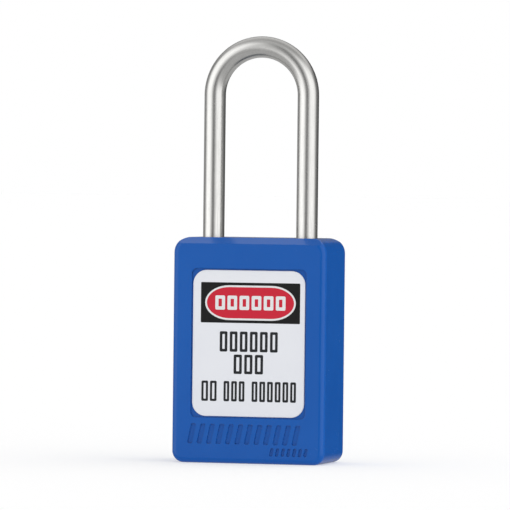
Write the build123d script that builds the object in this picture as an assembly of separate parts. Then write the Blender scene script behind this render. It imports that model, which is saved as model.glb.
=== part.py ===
"""Key-operated safety padlock for lockout work, as the separate pieces it comes apart into.

Frame, in millimetres: +Z up along the shackle legs, +X towards the toe leg, -Y towards the front
label. The origin is the centre of the body's bottom face. The lock is drawn closed, with the plug
turned to its open stop and every pin stack at the shear line, which is how the right key holds it.
"""

from build123d import *
import math
import os

# ---------------------------------------------------------------- body
BODY_WIDTH = 35.0
BODY_DEPTH = 18.0
BODY_HEIGHT = 50.0
TOP_CORNER_R = 3.4
BOTTOM_CORNER_R = 2.6
BODY_RIM_R = 1.25
TOP_BEVEL_DEPTH = 2.5
TOP_BEVEL_HEIGHT = 1.45
TOP_BEVEL_EDGE_R = 0.3
CAVITY_HALF_X = 14.8
CAVITY_HALF_Y = 6.9
CAVITY_TOP_Z = 46.2
CAVITY_CORNER_R = 1.5
FIT_GAP = 0.1

COVER_THICKNESS = 2.5
COVER_GAP = 0.05
COVER_EDGE_CHAMFER = 0.3

# ---------------------------------------------------------------- labels
LABEL_WIDTH = 25.7
LABEL_HEIGHT = 32.4
LABEL_CORNER_R = 3.1
LABEL_THICKNESS = 0.3
LABEL_EDGE_R = 0.14
LABEL_Z = 26.6
RECESS_MARGIN = 0.3
RECESS_DEPTH = 0.6
RECESS_CORNER_R = 1.2
RECESS_EDGE_R = 0.2

# Plain slanted grooves in two rows under the front label.
GROOVE_DEPTH = 0.4
GROOVE_WALL_DEG = 15.0
GROOVE_SLANT_DEG = 12.0
GROOVE_CORNER_R = 0.2
LONG_GROOVES = 12
LONG_GROOVE_SIZE = (0.95, 4.2)
LONG_GROOVE_START_X = -12.8
LONG_GROOVE_PITCH = 2.18
LONG_GROOVE_Z = 6.5
SHORT_GROOVES = 7
SHORT_GROOVE_SIZE = (0.55, 1.6)
SHORT_GROOVE_START_X = 5.6
SHORT_GROOVE_PITCH = 1.3
SHORT_GROOVE_Z = 2.7

# ---------------------------------------------------------------- shackle
WIRE_R = 2.38
LEG_X = 10.75
SHACKLE_TOP_Z = 94.75
BEND_Z = SHACKLE_TOP_Z - WIRE_R - LEG_X
LIFT = 13.5
TOE_END_Z = 38.2
HEEL_END_Z = 14.0
LEG_CHAMFER = 0.35
SHELL_HOLE_R = 2.55
SHELL_HOLE_CHAMFER = 0.25
LEG_BORE_R = 2.5
HEEL_BORE_FLOOR_Z = 5.0
SHACKLE_SPRING_R = 1.75
SHACKLE_SPRING_WIRE_R = 0.25
SHACKLE_SPRING_TURNS = 12
SPRING_END_GAP = 0.05

# ---------------------------------------------------------------- ball lock
BALL_R = 2.38
BALL_Z = 41.5
BALL_TRAVEL = 0.9
BALL_LEG_GAP = 0.1
BALL_OPEN_X = LEG_X - WIRE_R - BALL_LEG_GAP - BALL_R
BALL_LOCKED_X = BALL_OPEN_X + BALL_TRAVEL
BALL_BORE_R = 2.45
BALL_BORE_END_X = 7.95
BALL_WINDOW_R = 2.1
NOTCH_R = 2.5
CAM_GAP = 0.06
CAM_LOW_R = BALL_OPEN_X - BALL_R - CAM_GAP
CAM_HIGH_R = CAM_LOW_R + BALL_TRAVEL
CAM_HALF_HEIGHT = 2.9
CAM_STEM_R = 3.2
CAM_CHAMBER_R = 4.9
CLIP_CHAMBER_R = 5.6
CLIP_CHAMBER_TOP_Z = 27.2
CAM_CHAMBER_TOP_Z = 45.0
CAM_RISE_END_DEG = 90.0
CAM_DWELL_END_DEG = 112.0
CAM_FALL_END_DEG = 156.0
CAM_STEP_DEG = 6
PIVOT_R = 2.0
PIVOT_HOLE_R = 2.08

# ---------------------------------------------------------------- shackle retaining pin
RETAINING_PIN_R = 0.8
RETAINING_PIN_Z = 32.0
RETAINING_PIN_X = -(LEG_X - WIRE_R)
RETAINING_PIN_HALF_LENGTH = 6.6
FLAT_CLEARANCE = 0.1
GROOVE_SLACK = 0.15

# ---------------------------------------------------------------- cylinder
PLUG_R = 4.6
PLUG_BORE_R = 4.65
PLUG_NOSE_R = 4.2
PLUG_NOSE_HOLE_R = 4.3
PLUG_FACE_Z = 0.3
PLUG_FACE_CHAMFER = 0.25
KEYWAY_MOUTH_CHAMFER = 0.15
PLUG_FLANGE_R = 5.1
PLUG_FLANGE_BOTTOM_Z = 2.7
PLUG_FLANGE_TOP_Z = 3.5
FLANGE_SEAT_R = 5.2
FLANGE_SEAT_TOP_Z = 3.6
HOUSING_BOTTOM_Z = 2.6
HOUSING_TOP_Z = 26.0
HOUSING_R = 5.8
HOUSING_BORE_R = 5.9
PLUG_TOP_Z = 27.3
CLIP_THICKNESS = 0.5
CLIP_INNER_R = 3.95
CLIP_OUTER_R = 5.3
CLIP_MOUTH = 5.2
CLIP_GAP = 0.05
CLIP_GROOVE_R = 3.9
CLIP_GROOVE_Z = HOUSING_TOP_Z + 0.1
CLIP_GROOVE_HEIGHT = 0.6
TONGUE_THICKNESS = 2.0
TONGUE_WIDTH = 5.4
TONGUE_TOP_Z = 30.0
TONGUE_GAP = 0.05

# Pin stacks stand along +X on the housing, in the turret beside the plug.
PIN_COUNT = 6
PIN_PITCH = 2.9
FIRST_PIN_Z = 6.0
PIN_R = 1.15
PLUG_PIN_BORE_R = 1.2
CHAMBER_R = 1.22
PIN_BORE_FLOOR = 0.3
PIN_EDGE_CHAMFER = 0.2
KEY_PIN_OUTER = 4.54
KEY_PIN_SHORTEST = 2.5
KEY_PIN_STEP = 0.4
KEY_CUTS = (2, 0, 3, 1, 2, 0)
KEY_PIN_CONE = 0.8
KEY_PIN_TIP_R = 0.3
KEY_PIN_BEVEL = 0.3
DRIVER_INNER = 4.66
DRIVER_LENGTH = 3.1
SPOOL_DRIVERS = (1, 3)
SPOOL_WAIST_R = 0.8
SPOOL_LIP = 0.7
TURRET_OUTER_X = 13.4
TURRET_HALF_Y = 2.5
CAP_THICKNESS = 0.8
CAP_HALF_Y = 1.8
CAP_BOTTOM_Z = 3.7
CAP_TOP_Z = 23.0
CAP_GAP = 0.03
DRIVER_SPRING_R = 0.88
DRIVER_SPRING_WIRE_R = 0.14
DRIVER_SPRING_TURNS = 6

# Keyway: three steps across the blade, so the slot is warded. Along X the pins are on the + side.
KEYWAY_START_X = -3.3
KEYWAY_STEP_LENGTH = 2.0
KEYWAY_WIDTH = 1.5
KEYWAY_OFFSETS = (-0.3, 0.3, -0.3)
KEYWAY_TOP_Z = 24.5
OPEN_TURN_DEG = 90.0

# ---------------------------------------------------------------- cylinder screw in the toe bore
SCREW_HEAD_R = 2.25
SCREW_HEAD_TOP_Z = 37.3
SCREW_HEAD_HEIGHT = 2.0
SCREW_R = 1.2
SCREW_ROOT_R = 1.0
SCREW_THREAD_PITCH = 0.45
SCREW_THREAD_LENGTH = 3.6
SCREW_END_Z = 22.4
SCREW_HOLE_R = 1.25
SCREW_CLEARANCE_R = 1.4
SCREW_SLOT_WIDTH = 0.6
SCREW_SLOT_DEPTH = 0.9
SCREW_EDGE_CHAMFER = 0.3
SCREW_END_GAP = 0.2
SCREW_THREAD_ROOT_HALF = 0.2
SCREW_THREAD_CREST_HALF = 0.04

CARRIER_HALF_X = CAVITY_HALF_X - FIT_GAP
CARRIER_HALF_Y = CAVITY_HALF_Y - FIT_GAP
CARRIER_TOP_Z = CAVITY_TOP_Z - FIT_GAP
CAP_INNER_X = TURRET_OUTER_X - CAP_THICKNESS
BASE = (Align.CENTER, Align.CENTER, Align.MIN)
INNER_BASE = (Align.MIN, Align.CENTER, Align.MIN)
PIN_HEIGHTS = [FIRST_PIN_Z + i * PIN_PITCH for i in range(PIN_COUNT)]


def rod_up(radius, bottom, top, x=0.0, y=0.0):
    """A round bar along Z between two heights."""
    return Pos(x, y, bottom) * Cylinder(radius, top - bottom, align=BASE)


def rod_along_x(radius, start, end, z, y=0.0):
    """A round bar along X between two stations."""
    return Pos(start, y, z) * Rot(0, 90, 0) * Cylinder(radius, end - start, align=BASE)


def rod_along_y(radius, half_length, x, z):
    """A round bar along Y, centred on y = 0."""
    return Pos(x, 0, z) * Rot(90, 0, 0) * Cylinder(radius, 2 * half_length)


def upright_block(half_x, half_y, bottom, top, corner_r):
    """A block whose four vertical edges are rounded."""
    sketch = RectangleRounded(2 * half_x, 2 * half_y, corner_r)
    return Pos(0, 0, bottom) * extrude(sketch, top - bottom)


def face_plate(width, height, corner_r, inner_y, outer_y, z):
    """A rounded plate on the front of the body, between two distances from the mid plane."""
    outline = Plane.XZ.offset(inner_y) * Pos(0, z) * RectangleRounded(width, height, corner_r)
    return extrude(outline, outer_y - inner_y)


def coil(radius, wire_r, length, turns):
    """A helical spring standing on z = 0, its ends inside the given length."""
    rise = length - 2 * wire_r
    path = Helix(pitch=rise / turns, height=rise, radius=radius)
    wire = Plane(origin=path @ 0, z_dir=path % 0) * Circle(wire_r)
    return Pos(0, 0, wire_r) * sweep(wire, path=path, is_frenet=True)


def on_level(edge, axis, level):
    """Whether an edge lies wholly in one plane square to an axis."""
    box = edge.bounding_box()
    low, high = (box.min.Z, box.max.Z) if axis == Axis.Z else (box.min.Y, box.max.Y)
    return abs(low - level) < 0.001 and abs(high - level) < 0.001


def make_body_block():
    """The body's outside: rounded all round both faces, with a flat bevel along the top of each."""
    block = Box(BODY_WIDTH, BODY_DEPTH, BODY_HEIGHT, align=BASE)
    corners = block.edges().filter_by(Axis.Y).sort_by(Axis.Z)
    block = fillet(corners[:2], BOTTOM_CORNER_R)
    corners = [e for e in block.edges().filter_by(Axis.Y) if e.center().Z > BODY_HEIGHT - 1]
    corners = [e for e in corners if abs(e.center().X) > BODY_WIDTH / 2 - 1]
    block = fillet(corners, TOP_CORNER_R)
    rims = []
    for face in (block.faces().sort_by(Axis.Y)[0], block.faces().sort_by(Axis.Y)[-1]):
        rims += face.outer_wire().edges()
    block = fillet(rims, BODY_RIM_R)
    half_depth = BODY_DEPTH / 2
    bevel_z = BODY_HEIGHT - TOP_BEVEL_HEIGHT
    section = make_face(
        Polyline(
            (-half_depth, 0),
            (half_depth, 0),
            (half_depth, bevel_z),
            (half_depth - TOP_BEVEL_DEPTH, BODY_HEIGHT),
            (TOP_BEVEL_DEPTH - half_depth, BODY_HEIGHT),
            (-half_depth, bevel_z),
            close=True,
        )
    )
    block &= extrude(Plane.YZ.offset(-BODY_WIDTH) * section, 2 * BODY_WIDTH)
    bevel_edges = []
    for face in block.faces().filter_by(GeomType.PLANE):
        if bevel_z < face.center().Z < BODY_HEIGHT - 0.1:
            bevel_edges += face.edges()
    return fillet(bevel_edges, TOP_BEVEL_EDGE_R)


def make_grooves():
    """The shallow grooves in the front face, as cutters."""
    grooves = []
    floor_plane = Plane.XZ.offset(BODY_DEPTH / 2 - GROOVE_DEPTH)
    slant = math.tan(math.radians(GROOVE_SLANT_DEG))
    rows = (
        (LONG_GROOVES, LONG_GROOVE_SIZE, LONG_GROOVE_START_X, LONG_GROOVE_PITCH, LONG_GROOVE_Z),
        (SHORT_GROOVES, SHORT_GROOVE_SIZE, SHORT_GROOVE_START_X, SHORT_GROOVE_PITCH, SHORT_GROOVE_Z),
    )
    for count, (width, height), start_x, pitch, z in rows:
        lean = 0.5 * height * slant
        corners = [
            (-width / 2 - lean, -height / 2),
            (width / 2 - lean, -height / 2),
            (width / 2 + lean, height / 2),
            (-width / 2 + lean, height / 2),
        ]
        outline = make_face(Polyline(*corners, close=True))
        outline = fillet(outline.vertices(), GROOVE_CORNER_R)
        for i in range(count):
            floor = floor_plane * Pos(start_x + i * pitch, z) * outline
            grooves.append(extrude(floor, 2 * GROOVE_DEPTH, taper=-GROOVE_WALL_DEG))
    return grooves


def make_body_shell():
    """Moulded body: one shell, open below, with a recess for a label on each face."""
    shell = make_body_block()
    shell -= upright_block(CAVITY_HALF_X, CAVITY_HALF_Y, -1, CAVITY_TOP_Z, CAVITY_CORNER_R)
    for side in (-1, 1):
        shell -= rod_up(SHELL_HOLE_R, CAVITY_TOP_Z - 1, BODY_HEIGHT + 1, side * LEG_X)
    mouths = [e for e in shell.edges().filter_by(GeomType.CIRCLE) if on_level(e, Axis.Z, BODY_HEIGHT)]
    shell = chamfer(mouths, SHELL_HOLE_CHAMFER)
    recess = face_plate(
        LABEL_WIDTH + 2 * RECESS_MARGIN,
        LABEL_HEIGHT + 2 * RECESS_MARGIN,
        RECESS_CORNER_R,
        BODY_DEPTH / 2 - RECESS_DEPTH,
        BODY_DEPTH / 2 + 1,
        LABEL_Z,
    )
    shell -= recess
    shell -= mirror(recess, about=Plane.XZ)
    for face_y in (-BODY_DEPTH / 2, BODY_DEPTH / 2):
        rim = [e for e in shell.edges() if on_level(e, Axis.Y, face_y)]
        rim = [e for e in rim if abs(e.center().X) < LABEL_WIDTH / 2 + 1]
        rim = [e for e in rim if abs(e.center().Z - LABEL_Z) < LABEL_HEIGHT / 2 + 1]
        shell = fillet(rim, RECESS_EDGE_R)
    for groove in make_grooves():
        shell -= groove
    return shell


def make_bottom_cover():
    """Cover welded into the shell's open end, with the hole that the plug's nose turns in."""
    cover = upright_block(
        CAVITY_HALF_X - COVER_GAP, CAVITY_HALF_Y - COVER_GAP, 0, COVER_THICKNESS, CAVITY_CORNER_R
    )
    cover = chamfer(cover.faces().sort_by(Axis.Z)[0].outer_wire().edges(), COVER_EDGE_CHAMFER)
    cover -= rod_up(PLUG_NOSE_HOLE_R, -1, COVER_THICKNESS + 1)
    mouth = [e for e in cover.edges().filter_by(GeomType.CIRCLE) if on_level(e, Axis.Z, 0)]
    mouth = [e for e in mouth if e.radius > PLUG_NOSE_HOLE_R - 0.01]
    return chamfer(mouth, COVER_EDGE_CHAMFER)


def make_front_label():
    """Stiff printed label in the front recess."""
    seat = BODY_DEPTH / 2 - RECESS_DEPTH
    label = face_plate(LABEL_WIDTH, LABEL_HEIGHT, LABEL_CORNER_R, seat, seat + LABEL_THICKNESS, LABEL_Z)
    return fillet(label.faces().sort_by(Axis.Y)[0].edges(), LABEL_EDGE_R)


def make_shackle():
    """Bent steel bar: two legs and a half ring, notched for the balls and relieved on the heel leg."""
    heel = rod_up(WIRE_R, HEEL_END_Z, BEND_Z, -LEG_X)
    toe = rod_up(WIRE_R, TOE_END_Z, BEND_Z, LEG_X)
    legs = [chamfer(leg.edges().sort_by(Axis.Z)[0], LEG_CHAMFER) for leg in (heel, toe)]
    section = Pos(LEG_X, 0, BEND_Z) * Circle(WIRE_R)
    bow = revolve(section, axis=Axis((0, 0, BEND_Z), (0, -1, 0)), revolution_arc=180)
    shackle = bow + legs[0] + legs[1]
    for side in (-1, 1):
        shackle -= rod_along_y(NOTCH_R, WIRE_R + 1, side * BALL_LOCKED_X, BALL_Z)
    # The retaining pin runs in a long flat, which ends in a groove round the leg.
    flat_x = RETAINING_PIN_X - RETAINING_PIN_R - FLAT_CLEARANCE
    slack = RETAINING_PIN_R + GROOVE_SLACK
    flat_top = RETAINING_PIN_Z + slack
    groove_z = RETAINING_PIN_Z - LIFT
    relief = Box(-flat_x, 2 * WIRE_R + 2, flat_top - groove_z)
    shackle -= Pos(flat_x / 2, 0, (flat_top + groove_z) / 2) * relief
    ring = rod_up(WIRE_R + 1, groove_z - slack, groove_z + slack, -LEG_X)
    ring -= rod_up(flat_x + LEG_X, groove_z - 2, groove_z + 2, -LEG_X)
    return shackle - ring


def cam_radius(angle):
    """Cam radius at an angle in degrees from +X: rises as the plug turns, dwells, then falls back."""
    a = angle % 180
    if a <= CAM_RISE_END_DEG:
        share = a / CAM_RISE_END_DEG
    elif a <= CAM_DWELL_END_DEG:
        share = 1.0
    elif a <= CAM_FALL_END_DEG:
        fall = (a - CAM_DWELL_END_DEG) / (CAM_FALL_END_DEG - CAM_DWELL_END_DEG)
        share = 0.5 + 0.5 * math.cos(math.pi * fall)
    else:
        share = 0.0
    return CAM_LOW_R + share * (CAM_HIGH_R - CAM_LOW_R)


def make_drive_cam():
    """Cam turned by the plug's tongue. Its two lobes push the balls apart into the shackle."""
    points = []
    for angle in range(0, 360, CAM_STEP_DEG):
        r, a = cam_radius(angle), math.radians(angle)
        points.append((r * math.cos(a), r * math.sin(a)))
    outline = make_face(Spline(*points, periodic=True))
    bottom = BALL_Z - CAM_HALF_HEIGHT
    cam = Pos(0, 0, bottom) * extrude(outline, 2 * CAM_HALF_HEIGHT)
    cam += rod_up(CAM_STEM_R, PLUG_TOP_Z + TONGUE_GAP, bottom)
    cam += rod_up(PIVOT_R, BALL_Z + CAM_HALF_HEIGHT, CARRIER_TOP_Z - FIT_GAP)
    slot_width = TONGUE_THICKNESS + 2 * TONGUE_GAP
    slot_height = TONGUE_TOP_Z + 2 * TONGUE_GAP - PLUG_TOP_Z
    slot = Box(slot_width, 2 * CAM_STEM_R + 1, slot_height, align=BASE)
    return cam - Pos(0, 0, PLUG_TOP_Z) * slot


def make_locking_ball(side):
    """Hardened ball between the cam and one leg, at its open place."""
    return Pos(side * BALL_OPEN_X, 0, BALL_Z) * Sphere(BALL_R)


def make_retaining_pin():
    """Dowel across the carrier that stops the heel leg from lifting out."""
    return rod_along_y(RETAINING_PIN_R, RETAINING_PIN_HALF_LENGTH, RETAINING_PIN_X, RETAINING_PIN_Z)


def make_mechanism_carrier():
    """Die-cast block that holds the cylinder, the cam, the balls and both legs."""
    carrier = upright_block(
        CARRIER_HALF_X, CARRIER_HALF_Y, HOUSING_BOTTOM_Z, CARRIER_TOP_Z, CAVITY_CORNER_R - FIT_GAP
    )
    carrier -= rod_up(HOUSING_BORE_R, 0, HOUSING_TOP_Z + FIT_GAP)
    slot_x = TURRET_OUTER_X + FIT_GAP
    slot = Box(slot_x, 2 * (TURRET_HALF_Y + FIT_GAP), HOUSING_TOP_Z + FIT_GAP, align=BASE)
    carrier -= Pos(slot_x / 2, 0, 0) * slot
    carrier -= rod_up(CLIP_CHAMBER_R, HOUSING_TOP_Z, CLIP_CHAMBER_TOP_Z)
    carrier -= rod_up(CAM_CHAMBER_R, HOUSING_TOP_Z, CAM_CHAMBER_TOP_Z)
    carrier -= rod_up(PIVOT_HOLE_R, CAM_CHAMBER_TOP_Z - 1, CARRIER_TOP_Z + 1)
    carrier -= rod_up(LEG_BORE_R, HEEL_BORE_FLOOR_Z, CARRIER_TOP_Z + 1, -LEG_X)
    toe_floor = SCREW_HEAD_TOP_Z - SCREW_HEAD_HEIGHT
    carrier -= rod_up(LEG_BORE_R, toe_floor, CARRIER_TOP_Z + 1, LEG_X)
    carrier -= rod_up(SCREW_CLEARANCE_R, HOUSING_TOP_Z, toe_floor + 1, LEG_X)
    # The ball bore is drilled from the heel side and stops short of the toe bore, which it meets
    # through a smaller window, so that the toe ball stays in while the shackle is up.
    carrier -= rod_along_x(BALL_BORE_R, -CARRIER_HALF_X - 1, BALL_BORE_END_X, BALL_Z)
    carrier -= rod_along_x(BALL_WINDOW_R, BALL_BORE_END_X - 1, LEG_X, BALL_Z)
    carrier -= rod_along_y(RETAINING_PIN_R, CARRIER_HALF_Y + 1, RETAINING_PIN_X, RETAINING_PIN_Z)
    return carrier


def make_cylinder_housing():
    """Brass housing: a round barrel with the turret that holds the driver pins."""
    height = HOUSING_TOP_Z - HOUSING_BOTTOM_Z
    housing = rod_up(HOUSING_R, HOUSING_BOTTOM_Z, HOUSING_TOP_Z)
    turret = Box(TURRET_OUTER_X, 2 * TURRET_HALF_Y, height, align=BASE)
    housing += Pos(TURRET_OUTER_X / 2, 0, HOUSING_BOTTOM_Z) * turret
    housing -= rod_up(PLUG_BORE_R, 0, HOUSING_TOP_Z + 1)
    housing -= rod_up(FLANGE_SEAT_R, 0, FLANGE_SEAT_TOP_Z)
    for z in PIN_HEIGHTS:
        housing -= rod_along_x(CHAMBER_R, 1, TURRET_OUTER_X, z)
    cap_length = CAP_TOP_Z - CAP_BOTTOM_Z + 2 * CAP_GAP
    groove = Box(2 * CAP_THICKNESS, 2 * (CAP_HALF_Y + CAP_GAP), cap_length, align=INNER_BASE)
    housing -= Pos(CAP_INNER_X, 0, CAP_BOTTOM_Z - CAP_GAP) * groove
    return housing - rod_up(SCREW_HOLE_R, SCREW_END_Z - SCREW_END_GAP, HOUSING_TOP_Z + 1, LEG_X)


def make_chamber_cap():
    """Strip staked into the turret, which closes all six spring chambers."""
    thickness, height = CAP_THICKNESS - 2 * CAP_GAP, CAP_TOP_Z - CAP_BOTTOM_Z
    strip = Box(thickness, 2 * CAP_HALF_Y, height, align=INNER_BASE)
    return Pos(CAP_INNER_X + CAP_GAP, 0, CAP_BOTTOM_Z) * strip


def keyway():
    """The warded slot, in the plug's own frame, where the pins enter from +X."""
    steps = []
    for i, offset in enumerate(KEYWAY_OFFSETS):
        x = KEYWAY_START_X + (i + 0.5) * KEYWAY_STEP_LENGTH
        steps.append(Pos(x, offset) * Rectangle(KEYWAY_STEP_LENGTH + 0.001, KEYWAY_WIDTH))
    return extrude(steps[0] + steps[1] + steps[2], KEYWAY_TOP_Z)


def make_plug():
    """Brass plug at its open stop: nose, flange, pin bores, warded keyway, clip groove and tongue."""
    plug = rod_up(PLUG_NOSE_R, PLUG_FACE_Z, PLUG_FLANGE_BOTTOM_Z)
    plug = chamfer(plug.edges().sort_by(Axis.Z)[0], PLUG_FACE_CHAMFER)
    plug += rod_up(PLUG_FLANGE_R, PLUG_FLANGE_BOTTOM_Z, PLUG_FLANGE_TOP_Z)
    plug += rod_up(PLUG_R, PLUG_FLANGE_TOP_Z, PLUG_TOP_Z)
    plug -= keyway()
    face = plug.faces().sort_by(Axis.Z)[0]
    plug = chamfer(face.inner_wires()[0].edges(), KEYWAY_MOUTH_CHAMFER)
    for z in PIN_HEIGHTS:
        plug -= rod_along_x(PLUG_PIN_BORE_R, PIN_BORE_FLOOR, PLUG_R + 1, z)
    groove = rod_up(PLUG_R + 1, CLIP_GROOVE_Z, CLIP_GROOVE_Z + CLIP_GROOVE_HEIGHT)
    groove -= rod_up(CLIP_GROOVE_R, 0, BODY_HEIGHT)
    plug -= groove
    plug = Rot(0, 0, OPEN_TURN_DEG) * plug
    tongue_height = TONGUE_TOP_Z - PLUG_TOP_Z
    return plug + Pos(0, 0, PLUG_TOP_Z) * Box(TONGUE_THICKNESS, TONGUE_WIDTH, tongue_height, align=BASE)


def make_plug_clip():
    """Open ring in the plug's groove, above the housing."""
    bottom = CLIP_GROOVE_Z + CLIP_GAP
    clip = rod_up(CLIP_OUTER_R, bottom, bottom + CLIP_THICKNESS)
    clip -= rod_up(CLIP_INNER_R, 0, BODY_HEIGHT)
    mouth = Pos(0, -CLIP_OUTER_R, bottom) * Box(CLIP_MOUTH, 2 * CLIP_OUTER_R, 2, align=BASE)
    return clip - mouth


def key_pin_length(index):
    """Length of a key pin, which grows with the depth of its cut in the key."""
    return KEY_PIN_SHORTEST + KEY_PIN_STEP * KEY_CUTS[index]


def make_key_pin(index):
    """Pin in the plug: a cone that rests on the key, and a bevelled outer end."""
    inner = KEY_PIN_OUTER - key_pin_length(index)
    profile = make_face(
        Polyline(
            (inner, 0),
            (inner, KEY_PIN_TIP_R),
            (inner + KEY_PIN_CONE, PIN_R),
            (KEY_PIN_OUTER - KEY_PIN_BEVEL, PIN_R),
            (KEY_PIN_OUTER, PIN_R - KEY_PIN_BEVEL),
            (KEY_PIN_OUTER, 0),
            close=True,
        )
    )
    pin = Pos(0, 0, PIN_HEIGHTS[index]) * revolve(profile, axis=Axis.X)
    return Rot(0, 0, OPEN_TURN_DEG) * pin


def make_driver_pin(index):
    """Pin in the turret, standing on the plug. Two of the six are waisted against picking."""
    end = DRIVER_INNER + DRIVER_LENGTH
    bevel = PIN_EDGE_CHAMFER
    waist = []
    if index in SPOOL_DRIVERS:
        waist = [
            (DRIVER_INNER + SPOOL_LIP, PIN_R),
            (DRIVER_INNER + SPOOL_LIP, SPOOL_WAIST_R),
            (end - SPOOL_LIP, SPOOL_WAIST_R),
            (end - SPOOL_LIP, PIN_R),
        ]
    outline = [(DRIVER_INNER, 0), (DRIVER_INNER, PIN_R - bevel), (DRIVER_INNER + bevel, PIN_R)]
    outline += waist
    outline += [(end - bevel, PIN_R), (end, PIN_R - bevel), (end, 0)]
    profile = make_face(Polyline(*outline, close=True))
    return Pos(0, 0, PIN_HEIGHTS[index]) * revolve(profile, axis=Axis.X)


def make_driver_spring(index):
    """Coil between a driver pin and the chamber cap."""
    start = DRIVER_INNER + DRIVER_LENGTH + SPRING_END_GAP
    length = CAP_INNER_X - SPRING_END_GAP - start
    spring = coil(DRIVER_SPRING_R, DRIVER_SPRING_WIRE_R, length, DRIVER_SPRING_TURNS)
    return Pos(start, 0, PIN_HEIGHTS[index]) * Rot(0, 90, 0) * spring


def make_shackle_spring():
    """Coil under the heel leg, squeezed while the lock is closed."""
    bottom = HEEL_BORE_FLOOR_Z + SPRING_END_GAP
    length = HEEL_END_Z - SPRING_END_GAP - bottom
    spring = coil(SHACKLE_SPRING_R, SHACKLE_SPRING_WIRE_R, length, SHACKLE_SPRING_TURNS)
    return Pos(-LEG_X, 0, bottom) * spring


def make_cylinder_screw():
    """Slotted screw at the foot of the toe bore, reached only when the shackle is up."""
    head_bottom = SCREW_HEAD_TOP_Z - SCREW_HEAD_HEIGHT
    head = rod_up(SCREW_HEAD_R, head_bottom, SCREW_HEAD_TOP_Z, LEG_X)
    head = chamfer(head.edges().sort_by(Axis.Z)[-1], SCREW_EDGE_CHAMFER)
    slot = Box(2 * SCREW_HEAD_R + 1, SCREW_SLOT_WIDTH, 2 * SCREW_SLOT_DEPTH, align=BASE)
    head -= Pos(LEG_X, 0, SCREW_HEAD_TOP_Z - SCREW_SLOT_DEPTH) * slot
    thread_top = SCREW_END_Z + SCREW_THREAD_LENGTH
    screw = head + rod_up(SCREW_R, thread_top, head_bottom, LEG_X)
    screw += rod_up(SCREW_ROOT_R, SCREW_END_Z, thread_top, LEG_X)
    root, crest = SCREW_THREAD_ROOT_HALF, SCREW_THREAD_CREST_HALF
    root_r = SCREW_ROOT_R - 0.1
    ridge = make_face(
        Polyline((root_r, -root), (SCREW_R, -crest), (SCREW_R, crest), (root_r, root), close=True)
    )
    ring = revolve(Plane.XZ * ridge, axis=Axis.Z)
    first_z = SCREW_END_Z + root + FIT_GAP
    for i in range(int(SCREW_THREAD_LENGTH / SCREW_THREAD_PITCH)):
        screw += Pos(LEG_X, 0, first_z + i * SCREW_THREAD_PITCH) * ring
    return screw


def make_parts():
    """Every node's solid, by name."""
    front_label = make_front_label()
    parts = {
        "body_shell": make_body_shell(),
        "bottom_cover": make_bottom_cover(),
        "front_label": front_label,
        "rear_label": mirror(front_label, about=Plane.XZ),
        "shackle": make_shackle(),
        "shackle_spring": make_shackle_spring(),
        "shackle_retaining_pin": make_retaining_pin(),
        "mechanism_carrier": make_mechanism_carrier(),
        "drive_cam": make_drive_cam(),
        "locking_ball_toe": make_locking_ball(1),
        "locking_ball_heel": make_locking_ball(-1),
        "cylinder_housing": make_cylinder_housing(),
        "cylinder_screw": make_cylinder_screw(),
        "chamber_cap": make_chamber_cap(),
        "plug": make_plug(),
        "plug_clip": make_plug_clip(),
    }
    for i in range(PIN_COUNT):
        parts[f"key_pin_{i + 1}"] = make_key_pin(i)
        parts[f"driver_pin_{i + 1}"] = make_driver_pin(i)
        parts[f"driver_spring_{i + 1}"] = make_driver_spring(i)
    return parts


os.makedirs("parts", exist_ok=True)
for name, solid in make_parts().items():
    export_step(solid, f"parts/{name}.step")
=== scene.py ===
import math

import bmesh
import bpy
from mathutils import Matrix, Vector


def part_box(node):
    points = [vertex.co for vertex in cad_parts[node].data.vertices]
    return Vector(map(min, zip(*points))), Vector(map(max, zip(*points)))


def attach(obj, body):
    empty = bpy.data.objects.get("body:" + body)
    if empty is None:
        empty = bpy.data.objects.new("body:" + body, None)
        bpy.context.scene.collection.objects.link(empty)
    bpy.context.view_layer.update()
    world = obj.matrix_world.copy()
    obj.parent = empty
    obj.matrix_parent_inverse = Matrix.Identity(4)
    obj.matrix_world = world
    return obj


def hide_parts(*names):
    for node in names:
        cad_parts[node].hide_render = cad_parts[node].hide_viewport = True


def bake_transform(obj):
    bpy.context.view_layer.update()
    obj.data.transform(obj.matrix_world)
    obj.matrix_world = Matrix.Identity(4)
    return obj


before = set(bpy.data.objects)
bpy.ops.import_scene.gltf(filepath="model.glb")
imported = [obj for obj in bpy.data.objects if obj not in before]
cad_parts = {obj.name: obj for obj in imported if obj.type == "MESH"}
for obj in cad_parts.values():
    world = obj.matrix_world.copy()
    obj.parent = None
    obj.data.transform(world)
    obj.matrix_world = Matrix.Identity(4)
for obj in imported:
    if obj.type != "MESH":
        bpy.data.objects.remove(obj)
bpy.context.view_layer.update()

MM = 0.001
ROOT = "lock_body"

# Painted reflection: how far, and to which grey, the plastics' colour turns where something shiny mirrors
# them.
MIRRORED_GREY_SHARE = 0.95
MIRRORED_GREY = (0.16, 0.17, 0.18)
# The steel's normals are averaged over this distance.
EVEN_RADIUS = 0.6 * MM
# How strongly shade is painted into the steel's colour on the outside of the bow.
BOW_RIM_PAINTED_SHADE = 0.75


# ---------------------------------------------------------------- places read from the frame
shackle_low, shackle_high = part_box("shackle")
WIRE_R = (shackle_high.y - shackle_low.y) / 2
LEG_X = shackle_high.x - WIRE_R
BEND_Z = shackle_high.z - WIRE_R - LEG_X
body_low, body_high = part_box("body_shell")
label_low, label_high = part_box("front_label")
FACE_Y = -label_low.y
LABEL_Z = (label_low.z + label_high.z) / 2


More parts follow.
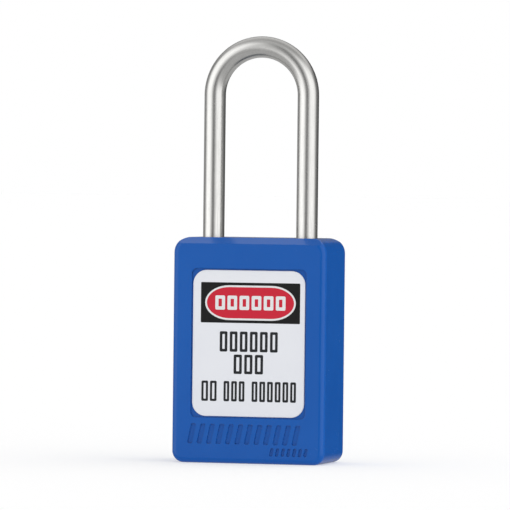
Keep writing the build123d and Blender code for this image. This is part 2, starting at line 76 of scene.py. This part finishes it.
# ---------------------------------------------------------------- material helpers
class Shader:
    """A node material being built: node() adds a node, with its inputs linked or set."""

    def __init__(self, name):
        self.material = bpy.data.materials.new(name)
        self.material.use_nodes = True
        self.tree = self.material.node_tree
        self.surface = self.tree.nodes["Principled BSDF"]

    def node(self, kind, inputs=None, **settings):
        made = self.tree.nodes.new(kind)
        for key, value in settings.items():
            setattr(made, key, value)
        for key, value in (inputs or {}).items():
            self.put(made.inputs[key], value)
        return made

    def put(self, socket, value):
        if isinstance(value, bpy.types.NodeSocket):
            self.tree.links.new(value, socket)
        else:
            socket.default_value = value

    def set(self, **inputs):
        for key, value in inputs.items():
            self.put(self.surface.inputs[key.replace("_", " ")], value)

    def math(self, operation, a, b=0.0):
        return self.node("ShaderNodeMath", {0: a, 1: b}, operation=operation).outputs[0]

    def ramp(self, value, low, high, start=0.0, end=1.0):
        """value mapped from low..high to start..end, clamped."""
        inputs = {"Value": value, "From Min": low, "From Max": high, "To Min": start, "To Max": end}
        return self.node("ShaderNodeMapRange", inputs).outputs[0]

    def vary(self, noise, start=0.0, end=1.0):
        """A noise mapped to start..end over the range where most of its values lie."""
        return self.ramp(noise, 0.3, 0.7, start, end)

    def noise(self, vector, scale, detail=3.0, roughness=0.5):
        inputs = {"Vector": vector, "Scale": scale, "Detail": detail, "Roughness": roughness}
        return self.node("ShaderNodeTexNoise", inputs).outputs["Fac"]

    def stretch(self, vector, factors):
        """vector scaled on each axis. A noise is drawn out along an axis whose factor is small."""
        return self.node("ShaderNodeMapping", {"Vector": vector, "Scale": factors}).outputs[0]

    def mix(self, share, a, b):
        """Colour a where share is 0 and colour b where it is 1."""
        made = self.node("ShaderNodeMix", {"Factor": share}, data_type="RGBA")
        self.put(made.inputs[6], (*a, 1.0) if isinstance(a, tuple) else a)
        self.put(made.inputs[7], (*b, 1.0) if isinstance(b, tuple) else b)
        return made.outputs[2]

    def bump(self, height, depth, strength, normal=None):
        inputs = {"Height": height, "Distance": depth, "Strength": strength}
        if normal is not None:
            inputs["Normal"] = normal
        return self.node("ShaderNodeBump", inputs).outputs[0]

    def place(self):
        return self.node("ShaderNodeTexCoord").outputs["Object"]


def scratches(shader, vector, scale, angle):
    """Thin lines in one direction, broken up by noise: 1 on a scratch, 0 elsewhere."""
    turn = {"Vector": vector, "Rotation": (0.3, angle, 0.2)}
    turned = shader.node("ShaderNodeMapping", turn).outputs[0]
    lines = shader.noise(shader.stretch(turned, (1.0, 1.0, 0.02)), scale, detail=2.0)
    thin = shader.ramp(lines, 0.66, 0.7)
    patches = shader.ramp(shader.noise(vector, scale=180.0), 0.5, 0.62)
    return shader.math("MULTIPLY", thin, patches)


# ---------------------------------------------------------------- materials
# Colours are linear RGB. A larger noise scale is a finer noise.
def moulded_plastic(name, light, dark, roughness, grain, scuff):
    """Injection-moulded plastic: fine spark-eroded grain, slow tint drift, faint scuffs.

    grain is the grain's height, and scuff is how strongly the scuffs show."""
    s = Shader(name)
    place = s.place()
    tint = s.noise(place, scale=90.0, detail=2.0)
    fine = s.noise(place, scale=5200.0, roughness=0.6)
    wave = s.noise(place, scale=210.0, detail=1.0)
    marks = scratches(s, place, scale=2600.0, angle=0.7)
    paler = tuple(min(1.0, c * 1.25 + 0.03) for c in light)
    colour = s.mix(s.vary(tint), dark, light)
    colour = s.mix(s.math("MULTIPLY", marks, scuff), colour, paler)
    # Painted reflection: in shiny surfaces the plastic shows as grey, not as its own colour.
    mirrored = s.node("ShaderNodeLightPath").outputs["Is Glossy Ray"]
    colour = s.mix(s.math("MULTIPLY", mirrored, MIRRORED_GREY_SHARE), colour, MIRRORED_GREY)
    rough = s.vary(fine, roughness - 0.05, roughness + 0.05)
    rough = s.math("ADD", rough, s.vary(tint, -0.03, 0.03))
    rough = s.math("ADD", rough, s.math("MULTIPLY", marks, 0.12))
    normal = s.bump(wave, depth=0.12 * MM, strength=0.35)
    normal = s.bump(fine, grain, 0.5, normal)
    s.set(Base_Color=colour, Roughness=rough, Normal=normal, Specular_IOR_Level=0.3)
    return s.material


def places_on_the_bar(s):
    """How far a point of the shackle is above the legs, and how far from the bend's middle.

    The third value is its place as if the bar were straight: across it, y, and along it."""
    x, y, z = (s.node("ShaderNodeSeparateXYZ", {0: s.place()}).outputs[i] for i in range(3))
    above = s.math("MAXIMUM", s.math("SUBTRACT", z, BEND_Z), 0.0)
    reach = s.math("SQRT", s.math("ADD", s.math("MULTIPLY", x, x), s.math("MULTIPLY", above, above)))
    across = s.math("MULTIPLY", reach, s.math("SIGN", x))
    turn = s.math("ARCTAN2", above, s.math("ABSOLUTE", x))
    along = s.math("ADD", s.math("MINIMUM", z, BEND_Z), s.math("MULTIPLY", turn, LEG_X))
    return above, reach, s.node("ShaderNodeCombineXYZ", {0: across, 1: y, 2: along}).outputs[0]


def drawn_steel():
    """Shackle bar: satin, with fine lines that run along the wire and round the bow.

    Its colour is painted darker on the outside of the bow: painted shade there."""
    s = Shader("shackle_drawn_steel")
    above, reach, wire = places_on_the_bar(s)
    # Where the painted shade lies: the outside of the bow's bend.
    outside = s.ramp(reach, LEG_X + 0.55 * WIRE_R, LEG_X + 0.78 * WIRE_R)
    bent = s.ramp(above, 0.3 * LEG_X, 0.9 * LEG_X)
    painted_shade_rim = s.math("MULTIPLY", outside, bent)
    lines = s.noise(s.stretch(wire, (1.0, 1.0, 0.035)), scale=5200.0, detail=4.0, roughness=0.6)
    pits = s.noise(s.stretch(wire, (1.0, 1.0, 0.35)), scale=2600.0, roughness=0.65)
    cloud = s.noise(s.stretch(wire, (1.0, 1.0, 0.3)), scale=260.0, detail=2.0)
    nicks = s.noise(s.stretch(wire, (0.25, 0.25, 1.0)), scale=1500.0, detail=2.0)
    nicked = s.ramp(nicks, 0.69, 0.74)
    colour = s.mix(s.ramp(lines, 0.35, 0.65), (0.6, 0.595, 0.58), (0.68, 0.675, 0.66))
    colour = s.mix(s.ramp(pits, 0.6, 0.74, 0.0, 0.35), colour, (0.46, 0.455, 0.44))
    # Painted shade: the colour is darkened on the outside of the bow's bend.
    colour = s.mix(s.math("MULTIPLY", painted_shade_rim, BOW_RIM_PAINTED_SHADE), colour, (0.32, 0.315, 0.305))
    rough = s.math("ADD", s.vary(cloud, 0.19, 0.24), s.ramp(pits, 0.35, 0.7, -0.015, 0.03))
    rough = s.math("ADD", rough, s.math("MULTIPLY", nicked, 0.08))
    # The bevel evens out the small turns of the surface normal where the bar's faces meet.
    even = s.node("ShaderNodeBevel", {"Radius": EVEN_RADIUS}, samples=8).outputs[0]
    normal = s.bump(lines, 0.006 * MM, 0.5, even)
    normal = s.bump(pits, 0.006 * MM, 0.5, normal)
    s.set(Base_Color=colour, Metallic=1.0, Roughness=rough, Normal=normal)
    return s.material


def turned_metal(name, light, dark, roughness, axis=2, scale=5200.0, stain=0.35):
    """Metal with the fine rings that a lathe leaves round its axis, and a little tarnish.

    axis is 0, 1 or 2 for x, y or z, and stain is how strongly the tarnish shows."""
    s = Shader(name)
    place = s.place()
    squeeze = tuple(1.0 if i == axis else 0.03 for i in range(3))
    rings = s.noise(s.stretch(place, squeeze), scale, roughness=0.6)
    cloud = s.noise(place, scale=420.0, detail=4.0, roughness=0.6)
    dull = tuple(c * 0.55 for c in dark)
    colour = s.mix(s.ramp(rings, 0.35, 0.65), dark, light)
    colour = s.mix(s.ramp(cloud, 0.5, 0.75, 0.0, stain), colour, dull)
    rough = s.vary(cloud, roughness - 0.05, roughness + 0.08)
    rough = s.math("ADD", rough, s.vary(rings, -0.04, 0.04))
    s.set(Base_Color=colour, Metallic=1.0, Roughness=rough, Normal=s.bump(rings, 0.02 * MM, 0.4))
    return s.material


def cast_metal():
    """Die-cast block: matt skin with flow marks and small pores."""
    s = Shader("carrier_die_cast")
    place = s.place()
    flow = s.noise(s.stretch(place, (1.0, 1.0, 0.3)), scale=420.0, detail=5.0, roughness=0.65)
    skin = s.noise(place, scale=3200.0, detail=4.0, roughness=0.7)
    pores = s.ramp(s.noise(place, scale=1500.0, detail=1.0), 0.7, 0.78)
    colour = s.mix(s.vary(flow), (0.36, 0.37, 0.385), (0.52, 0.53, 0.545))
    colour = s.mix(pores, colour, (0.14, 0.14, 0.15))
    normal = s.bump(skin, 0.03 * MM, 0.5)
    normal = s.bump(pores, -0.04 * MM, 0.6, normal)
    s.set(Base_Color=colour, Metallic=1.0, Roughness=s.vary(skin, 0.42, 0.62), Normal=normal)
    return s.material


def printed_ink(name, colour):
    """Screen-printed ink on a plastic label: slightly uneven, with a fine orange peel."""
    s = Shader(name)
    place = s.place()
    patch = s.noise(place, scale=1400.0, detail=4.0, roughness=0.6)
    peel = s.noise(place, scale=4200.0, detail=2.0)
    thin = tuple(c * 0.92 + 0.004 for c in colour)
    mixed = s.mix(s.ramp(patch, 0.35, 0.7), colour, thin)
    normal = s.bump(peel, 0.01 * MM, 0.4)
    s.set(Base_Color=mixed, Roughness=s.vary(peel, 0.36, 0.48), Normal=normal, Specular_IOR_Level=0.25)
    return s.material


# ---------------------------------------------------------------- finishes of the CAD nodes
blue = moulded_plastic(
    "body_blue_plastic", light=(0.002, 0.094, 0.41), dark=(0.001, 0.087, 0.39),
    roughness=0.14, grain=0.004 * MM, scuff=0.03,
)
blue_cover = moulded_plastic(
    "cover_blue_plastic", light=(0.01, 0.092, 0.375), dark=(0.008, 0.08, 0.34),
    roughness=0.36, grain=0.014 * MM, scuff=0.15,
)
white = moulded_plastic(
    "label_white_plastic", light=(0.785, 0.8, 0.84), dark=(0.765, 0.78, 0.825),
    roughness=0.36, grain=0.008 * MM, scuff=0.03,
)
write_on = moulded_plastic(
    "label_write_on_plastic", light=(0.75, 0.76, 0.775), dark=(0.72, 0.735, 0.755),
    roughness=0.5, grain=0.012 * MM, scuff=0.05,
)
spring_wire = turned_metal(
    "spring_wire_steel", (0.5, 0.49, 0.47), (0.36, 0.355, 0.345), roughness=0.28, scale=4200.0,
)
sintered = turned_metal(
    "cam_sintered_steel", (0.42, 0.41, 0.39), (0.3, 0.295, 0.285), roughness=0.4, scale=3000.0,
)
ground = turned_metal(
    "ball_ground_steel", (0.66, 0.66, 0.66), (0.58, 0.58, 0.585), roughness=0.14, scale=3000.0, stain=0.15,
)
key_pin_brass = turned_metal(
    "key_pin_turned_brass", (0.78, 0.58, 0.27), (0.62, 0.45, 0.2), roughness=0.22, axis=1, scale=7000.0,
)
nickel = turned_metal(
    "driver_pin_nickel_silver", (0.66, 0.63, 0.54), (0.52, 0.5, 0.43), roughness=0.24, axis=0, scale=7000.0,
)
plated = turned_metal("zinc_plated_steel", (0.62, 0.63, 0.64), (0.48, 0.49, 0.5), roughness=0.3)
brass = turned_metal("housing_brass", (0.72, 0.52, 0.22), (0.6, 0.42, 0.17), roughness=0.3)
plug_brass = turned_metal("plug_turned_brass", (0.76, 0.56, 0.25), (0.64, 0.46, 0.2), roughness=0.24)

PIN_NUMBERS = range(1, 7)
FINISH = {
    "body_shell": blue,
    "bottom_cover": blue_cover,
    "front_label": white,
    "rear_label": write_on,
    "shackle": drawn_steel(),
    "shackle_spring": spring_wire,
    "shackle_retaining_pin": plated,
    "mechanism_carrier": cast_metal(),
    "drive_cam": sintered,
    "locking_ball_toe": ground,
    "locking_ball_heel": ground,
    "cylinder_housing": brass,
    "cylinder_screw": plated,
    "chamber_cap": brass,
    "plug": plug_brass,
    "plug_clip": spring_wire,
}
for number in PIN_NUMBERS:
    FINISH[f"key_pin_{number}"] = key_pin_brass
    FINISH[f"driver_pin_{number}"] = nickel
    FINISH[f"driver_spring_{number}"] = spring_wire
for node, finish in FINISH.items():
    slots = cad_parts[node].data.materials
    slots.clear()
    slots.append(finish)


# ---------------------------------------------------------------- mesh helpers
def rounded_outline(width, height, radius, steps):
    """Corner-rounded rectangle about the origin, counter-clockwise, with steps edges per corner."""
    points = []
    for cx, cy, start in ((1, 1, 0), (-1, 1, 90), (-1, -1, 180), (1, -1, 270)):
        for i in range(steps + 1):
            a = math.radians(start + 90 * i / steps)
            x = cx * (width / 2 - radius) + radius * math.cos(a)
            y = cy * (height / 2 - radius) + radius * math.sin(a)
            points.append((x, y))
    return points


def oval_outline(half_width, half_height, half_flat, steps=20):
    """A flat-topped oval: half ellipses joined by two straight runs."""
    points = []
    for side, start in ((1, -90), (-1, 90)):
        for i in range(steps + 1):
            a = math.radians(start + 180 * i / steps)
            x = side * half_flat + (half_width - half_flat) * math.cos(a)
            points.append((x, half_height * math.sin(a)))
    return points


def bridge(bm, first, second):
    """A band of faces between two closed loops with as many points each."""
    for i in range(len(first)):
        j = (i + 1) % len(first)
        bm.faces.new((first[i], first[j], second[j], second[i]))


def add_object(name, bm, material):
    """Puts a finished mesh into the scene as an object with one material."""
    mesh = bpy.data.meshes.new(name)
    bm.to_mesh(mesh)
    bm.free()
    mesh.materials.append(material)
    made = bpy.data.objects.new(name, mesh)
    bpy.context.scene.collection.objects.link(made)
    return made


# ---------------------------------------------------------------- print on the labels
# Sizes of the print are in millimetres, and its places are from the label's middle. Each lift
# is how far an ink stands out from the label's face, so that overlapping inks stay apart.
INK_ROOT = 0.02
HEADER_X, HEADER_Z = 0.35, 9.0
HEADER_WIDTH, HEADER_HEIGHT, HEADER_CORNER, HEADER_LIFT = 22.75, 8.95, 0.2, 0.012
OVAL_HALF_WIDTH, OVAL_HALF_HEIGHT, OVAL_HALF_FLAT, OVAL_LIFT = 10.4, 3.85, 4.8, 0.022
RING_WIDTH, RING_LIFT = 0.4, 0.024
BLOCK_CORNER, BLOCK_INNER_CORNER = 0.3, 0.12
HEADER_ROW_LIFT, LINE_LIFT = 0.034, 0.014
# Rows of boxes: left end, right end, height of the row's middle, box height, number of boxes,
# gap between them, and stroke.
HEADER_ROW = (HEADER_X - 8.05, HEADER_X + 8.05, HEADER_Z, 3.15, 6, 0.55, 0.72)
LINES = {
    "label_line_a_block": (-6.6, 6.7, 0.4, 4.5, 6, 0.55, 0.6),
    "label_line_b_block": (-3.35, 3.4, -4.6, 4.3, 3, 0.55, 0.6),
    "label_line_c_block_left": (-10.7, -7.2, -10.6, 4.5, 2, 0.45, 0.5),
    "label_line_c_block_mid": (-5.6, -0.8, -10.6, 4.5, 3, 0.45, 0.5),
    "label_line_c_block_right": (0.85, 11.0, -10.6, 4.5, 6, 0.45, 0.5),
}
REAR_HEADER_WIDTH, REAR_HEADER_HEIGHT, REAR_HEADER_CORNER, REAR_HEADER_Z = 23.1, 4.2, 0.25, 12.2
RULE_WIDTH, RULE_HEIGHT, RULE_CORNER, RULE_TOP_Z, RULE_PITCH, RULE_COUNT = 22.0, 0.22, 0.1, 4.6, 5.6, 4
REAR_LIFT = 0.012

ink_black = printed_ink("ink_black", (0.002, 0.0024, 0.0028))
ink_red = printed_ink("ink_red", (0.59, 0.012, 0.036))
ink_white = printed_ink("ink_white", (0.78, 0.79, 0.8))
ink_dark = printed_ink("ink_dark", (0.012, 0.014, 0.017))
ink_grey = printed_ink("ink_grey", (0.1, 0.105, 0.11))


def ink_plate(name, outline, x, z, lift, material, label="front", hole=None):
    """A thin print on the front or rear label: the outline raised off its face, closed all round.

    x and z are its place from the label's middle."""
    facing = -1 if label == "front" else 1
    bm = bmesh.new()
    rims = []
    for depth in (FACE_Y - INK_ROOT * MM, FACE_Y + lift * MM):
        loops = []
        for points in (outline, hole) if hole else (outline,):
            places = [(x * MM + px * MM, facing * depth, LABEL_Z + z * MM + pz * MM) for px, pz in points]
            loops.append([bm.verts.new(place) for place in places])
        rims.append(loops)
    for inner, outer in zip(*rims):
        bridge(bm, inner, outer)
    for loops in rims:
        if hole:
            bridge(bm, *loops)
        else:
            bm.faces.new(loops[0])
    bmesh.ops.recalc_face_normals(bm, faces=bm.faces)
    piece = add_object(name, bm, material)
    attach(piece, ROOT)


def print_row(name, left, right, z, height, count, gap, stroke, lift, material):
    """A row of plain hollow boxes, which stand in for printed characters."""
    width = (right - left - gap * (count - 1)) / count
    outer = rounded_outline(width, height, BLOCK_CORNER, steps=6)
    inner = rounded_outline(width - 2 * stroke, height - 2 * stroke, BLOCK_INNER_CORNER, steps=6)
    for i in range(count):
        x = left + width / 2 + i * (width + gap)
        ink_plate(f"{name}_{i + 1}", outer, x, z, lift, material, hole=inner)


def header_oval(inset):
    """Outline of the header's oval, drawn in by inset."""
    return oval_outline(OVAL_HALF_WIDTH - inset, OVAL_HALF_HEIGHT - inset, OVAL_HALF_FLAT)


def front_print():
    """Black header with a ringed red oval, and rows of boxes on it and below it."""
    header = rounded_outline(HEADER_WIDTH, HEADER_HEIGHT, HEADER_CORNER, steps=3)
    oval = header_oval(RING_WIDTH)
    ink_plate("label_header", header, HEADER_X, HEADER_Z, HEADER_LIFT, ink_black)
    ink_plate("label_oval_ring", header_oval(0.0), HEADER_X, HEADER_Z, RING_LIFT, ink_white, hole=oval)
    ink_plate("label_oval", oval, HEADER_X, HEADER_Z, OVAL_LIFT, ink_red)
    print_row("label_header_block", *HEADER_ROW, HEADER_ROW_LIFT, ink_white)
    for name, row in LINES.items():
        print_row(name, *row, LINE_LIFT, ink_dark)


def rear_print():
    """A plain bar with ruled lines under it to write on."""
    bar = rounded_outline(REAR_HEADER_WIDTH, REAR_HEADER_HEIGHT, REAR_HEADER_CORNER, steps=3)
    ink_plate("rear_label_header", bar, 0.0, REAR_HEADER_Z, REAR_LIFT, ink_black, "rear")
    rule = rounded_outline(RULE_WIDTH, RULE_HEIGHT, RULE_CORNER, steps=2)
    for i in range(RULE_COUNT):
        z = RULE_TOP_Z - RULE_PITCH * i
        ink_plate(f"rear_label_rule_{i + 1}", rule, 0.0, z, REAR_LIFT, ink_grey, "rear")


front_print()
rear_print()

# ---------------------------------------------------------------- springs
END_GAP = 0.05 * MM
HEEL_COIL_RADIUS, HEEL_WIRE_RADIUS, HEEL_TURNS = 1.75 * MM, 0.25 * MM, 12
DRIVER_COIL_RADIUS, DRIVER_WIRE_RADIUS, DRIVER_TURNS = 0.88 * MM, 0.14 * MM, 7
# Pitch of the closed end turns, in wire radii.
CLOSED_PITCH = 2.05
STEPS_PER_TURN, WIRE_SIDES = 28, 10


def coil_rise(t, turns, closed, free):
    """Height of a coil's wire after t turns: one closed turn, the free turns, one closed turn."""
    if t < 1:
        return closed * t
    if t > turns - 1:
        return closed + free + closed * (t - turns + 1)
    return closed + free * (t - 1) / (turns - 2)


def coil_spring(name, node, foot, head, coil_radius, wire_radius, turns):
    """A compression spring from foot to head, with a closed turn at each end.

    Its foot is the end at the lock's body, and its head the end at the moving piece."""
    axis = (head - foot).normalized()
    side = axis.orthogonal().normalized()
    other = axis.cross(side)
    closed = CLOSED_PITCH * wire_radius
    free = (head - foot).length - 2 * wire_radius - 2 * closed
    bm = bmesh.new()
    loops = []
    for i in range(turns * STEPS_PER_TURN + 1):
        t = i / STEPS_PER_TURN
        a = 2 * math.pi * t
        centre = foot + axis * (wire_radius + coil_rise(t, turns, closed, free))
        out = side * math.cos(a) + other * math.sin(a)
        loop = []
        for k in range(WIRE_SIDES):
            b = 2 * math.pi * k / WIRE_SIDES
            reach = coil_radius + wire_radius * math.cos(b)
            loop.append(bm.verts.new(centre + out * reach + axis * (wire_radius * math.sin(b))))
        loops.append(loop)
    for one, following in zip(loops, loops[1:]):
        bridge(bm, one, following)
    bm.faces.new(loops[0])
    bm.faces.new(list(reversed(loops[-1])))
    bmesh.ops.recalc_face_normals(bm, faces=bm.faces)
    for face in bm.faces:
        face.smooth = True
    piece = add_object(name, bm, spring_wire)
    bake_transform(piece)
    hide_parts(node)


def heel_coil():
    """The coil under the shackle's heel leg."""
    low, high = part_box("shackle_spring")
    x = (low.x + high.x) / 2
    foot = Vector((x, 0, low.z - END_GAP))
    head = Vector((x, 0, high.z + END_GAP))
    coil_spring(
        "heel_coil_spring", "shackle_spring", foot, head,
        HEEL_COIL_RADIUS, HEEL_WIRE_RADIUS, HEEL_TURNS,
    )


def driver_coil(number):
    """The coil behind one driver pin. Its foot is on the chamber cap's side."""
    node = f"driver_spring_{number}"
    low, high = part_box(node)
    pin_low, pin_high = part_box(f"driver_pin_{number}")
    z = (pin_low.z + pin_high.z) / 2
    foot = Vector((high.x + END_GAP, 0, z))
    head = Vector((low.x - END_GAP, 0, z))
    coil_spring(
        f"driver_coil_spring_{number}", node, foot, head,
        DRIVER_COIL_RADIUS, DRIVER_WIRE_RADIUS, DRIVER_TURNS,
    )


heel_coil()
for number in PIN_NUMBERS:
    driver_coil(number)

# ---------------------------------------------------------------- studio
# Tall soft panels that the lock reflects: azimuth and half width in degrees, then brightness.
# Azimuth 0 is straight in front of the label and 90 is on the toe leg's side.
# The last one is a dark card behind the toe side.
PANELS = (
    (-50.0, 33.0, 1.38),
    (62.0, 38.0, 1.22),
    (-128.0, 26.0, 0.16),
    (170.0, 22.0, -0.16),
)
PANEL_SOFT_DEG = 21.0
# The panels fade into the overhead light between these heights above level, and into what is
# underneath between these below it.
PANEL_TOP_DEG = (28.0, 58.0)
PANEL_FOOT_DEG = (5.0, 24.0)
# The overhead light comes down this much further behind the lock.
LOWER_BEHIND_DEG = 10.0
# A direction counts as behind the lock at the first of these, and as in front at the second.
BEHIND_FADE = (-0.4, 0.1)
OVERHEAD_FRONT = 0.6
OVERHEAD_BACK = 1.15
UNDERNEATH = 0.52
REFLECTED_ROOM = 0.2
ROOM_LIGHT = 0.84
KEY_LIGHT = 0.76
FLOOR_LEFT, FLOOR_RIGHT, FLOOR_NEAR, FLOOR_FAR = -6.0, 6.0, -3.0, 12.0
FLOOR_LAP_X, FLOOR_LAP_Y = 3.2 * MM, 1.5 * MM
FLOOR_GLOW = 0.39


def rectangle(bm, left, right, near, far):
    """Corner points of a level rectangle at the floor's height."""
    return [bm.verts.new((x, y, 0.0)) for x, y in ((left, near), (right, near), (right, far), (left, far))]


def studio_floor():
    """A pale floor that runs far behind the lock.

    It is open where the lock stands, and clear when seen from below, so that the bottom shows."""
    bm = bmesh.new()
    outer = rectangle(bm, FLOOR_LEFT, FLOOR_RIGHT, FLOOR_NEAR, FLOOR_FAR)
    left, right = body_low.x + FLOOR_LAP_X, body_high.x - FLOOR_LAP_X
    near, far = body_low.y + FLOOR_LAP_Y, body_high.y - FLOOR_LAP_Y
    bridge(bm, outer, rectangle(bm, left, right, near, far))
    s = Shader("studio_paper")
    grain = s.noise(s.place(), scale=900.0)
    paper = s.mix(s.vary(grain), (0.6, 0.6, 0.6), (0.62, 0.62, 0.62))
    below = s.node("ShaderNodeNewGeometry").outputs["Backfacing"]
    s.set(Base_Color=paper, Roughness=0.95, Specular_IOR_Level=0.1, Alpha=s.math("SUBTRACT", 1.0, below))
    s.set(Emission_Color=(1.0, 1.0, 1.0, 1.0), Emission_Strength=FLOOR_GLOW)
    floor = add_object("studio_floor", bm, s.material)
    floor.visible_glossy = False


def studio_world():
    """White for the camera, even light for matt surfaces, soft panels for shiny ones."""
    world = bpy.data.worlds.new("studio_world")
    bpy.context.scene.world = world
    world.use_nodes = True
    world.cycles.sampling_method = "NONE"
    tree = world.node_tree

    def node(kind, inputs, **settings):
        made = tree.nodes.new(kind)
        for key, value in settings.items():
            setattr(made, key, value)
        for key, value in inputs.items():
            if isinstance(value, bpy.types.NodeSocket):
                tree.links.new(value, made.inputs[key])
            else:
                made.inputs[key].default_value = value
        return made.outputs

    def calc(operation, a, b=0.0):
        return node("ShaderNodeMath", {0: a, 1: b}, operation=operation)[0]

    def window(value, full, gone):
        """1 while value is under full, fading to 0 at gone."""
        inputs = {"Value": value, "From Min": full, "From Max": gone, "To Min": 1.0, "To Max": 0.0}
        return node("ShaderNodeMapRange", inputs, interpolation_type="SMOOTHSTEP")[0]

    def window_deg(value, limits):
        return window(value, math.radians(limits[0]), math.radians(limits[1]))

    def blend(share, a, b):
        """a where share is 0 and b where it is 1."""
        return node("ShaderNodeMix", {0: share, 2: a, 3: b})[0]

    direction = node("ShaderNodeSeparateXYZ", {0: node("ShaderNodeTexCoord", {})["Generated"]})
    forward = calc("MULTIPLY", direction[1], -1.0)
    azimuth = calc("ARCTAN2", direction[0], forward)
    height = calc("ARCSINE", direction[2])
    level = REFLECTED_ROOM
    for centre, half_width, brightness in PANELS:
        away = calc("ABSOLUTE", calc("SUBTRACT", azimuth, math.radians(centre)))
        panel = window_deg(away, (half_width - PANEL_SOFT_DEG, half_width + PANEL_SOFT_DEG))
        level = calc("ADD", calc("MULTIPLY", panel, brightness), level)
    behind = window(forward, *BEHIND_FADE)
    overhead = calc("ADD", calc("MULTIPLY", behind, OVERHEAD_BACK - OVERHEAD_FRONT), OVERHEAD_FRONT)
    ceiling_height = calc("ADD", height, calc("MULTIPLY", behind, math.radians(LOWER_BEHIND_DEG)))
    level = blend(window_deg(ceiling_height, PANEL_TOP_DEG), overhead, level)
    level = blend(window_deg(calc("MULTIPLY", height, -1.0), PANEL_FOOT_DEG), UNDERNEATH, level)
    key = calc("MULTIPLY", calc("MAXIMUM", direction[0], 0.0), KEY_LIGHT)
    path = node("ShaderNodeLightPath", {})
    level = blend(path["Is Glossy Ray"], calc("ADD", key, ROOM_LIGHT), level)
    level = blend(path["Is Camera Ray"], level, 1.0)
    background = tree.nodes["Background"]
    background.inputs["Color"].default_value = (1.0, 1.0, 1.0, 1.0)
    tree.links.new(level, background.inputs["Strength"])


def camera(azimuth, elevation, distance, lens, aim, roll):
    """A long lens aimed at a point beside the lock. Azimuth 0 looks along +Y.

    aim is that point's distance to the right of the lock's middle, and its height."""
    data = bpy.data.cameras.new("camera")
    data.lens = lens
    data.sensor_width = 36.0
    data.clip_start = 0.05
    data.clip_end = 40.0
    eye = bpy.data.objects.new("camera", data)
    a, e = math.radians(azimuth), math.radians(elevation)
    back = Vector((math.sin(a) * math.cos(e), -math.cos(a) * math.cos(e), math.sin(e)))
    right = Vector((math.cos(a), math.sin(a), 0.0))
    target = right * aim[0] + Vector((0.0, 0.0, aim[1]))
    eye.location = target + back * distance
    eye.rotation_euler = back.to_track_quat("Z", "Y").to_euler()
    eye.rotation_euler.rotate_axis("Z", math.radians(roll))
    bpy.context.scene.collection.objects.link(eye)
    bpy.context.scene.camera = eye


studio_floor()
studio_world()
camera(azimuth=15.5, elevation=0.85, distance=1.3, lens=412.5, aim=(-1.1 * MM, 46.1 * MM), roll=0.65)
bpy.context.scene.view_settings.view_transform = "Standard"
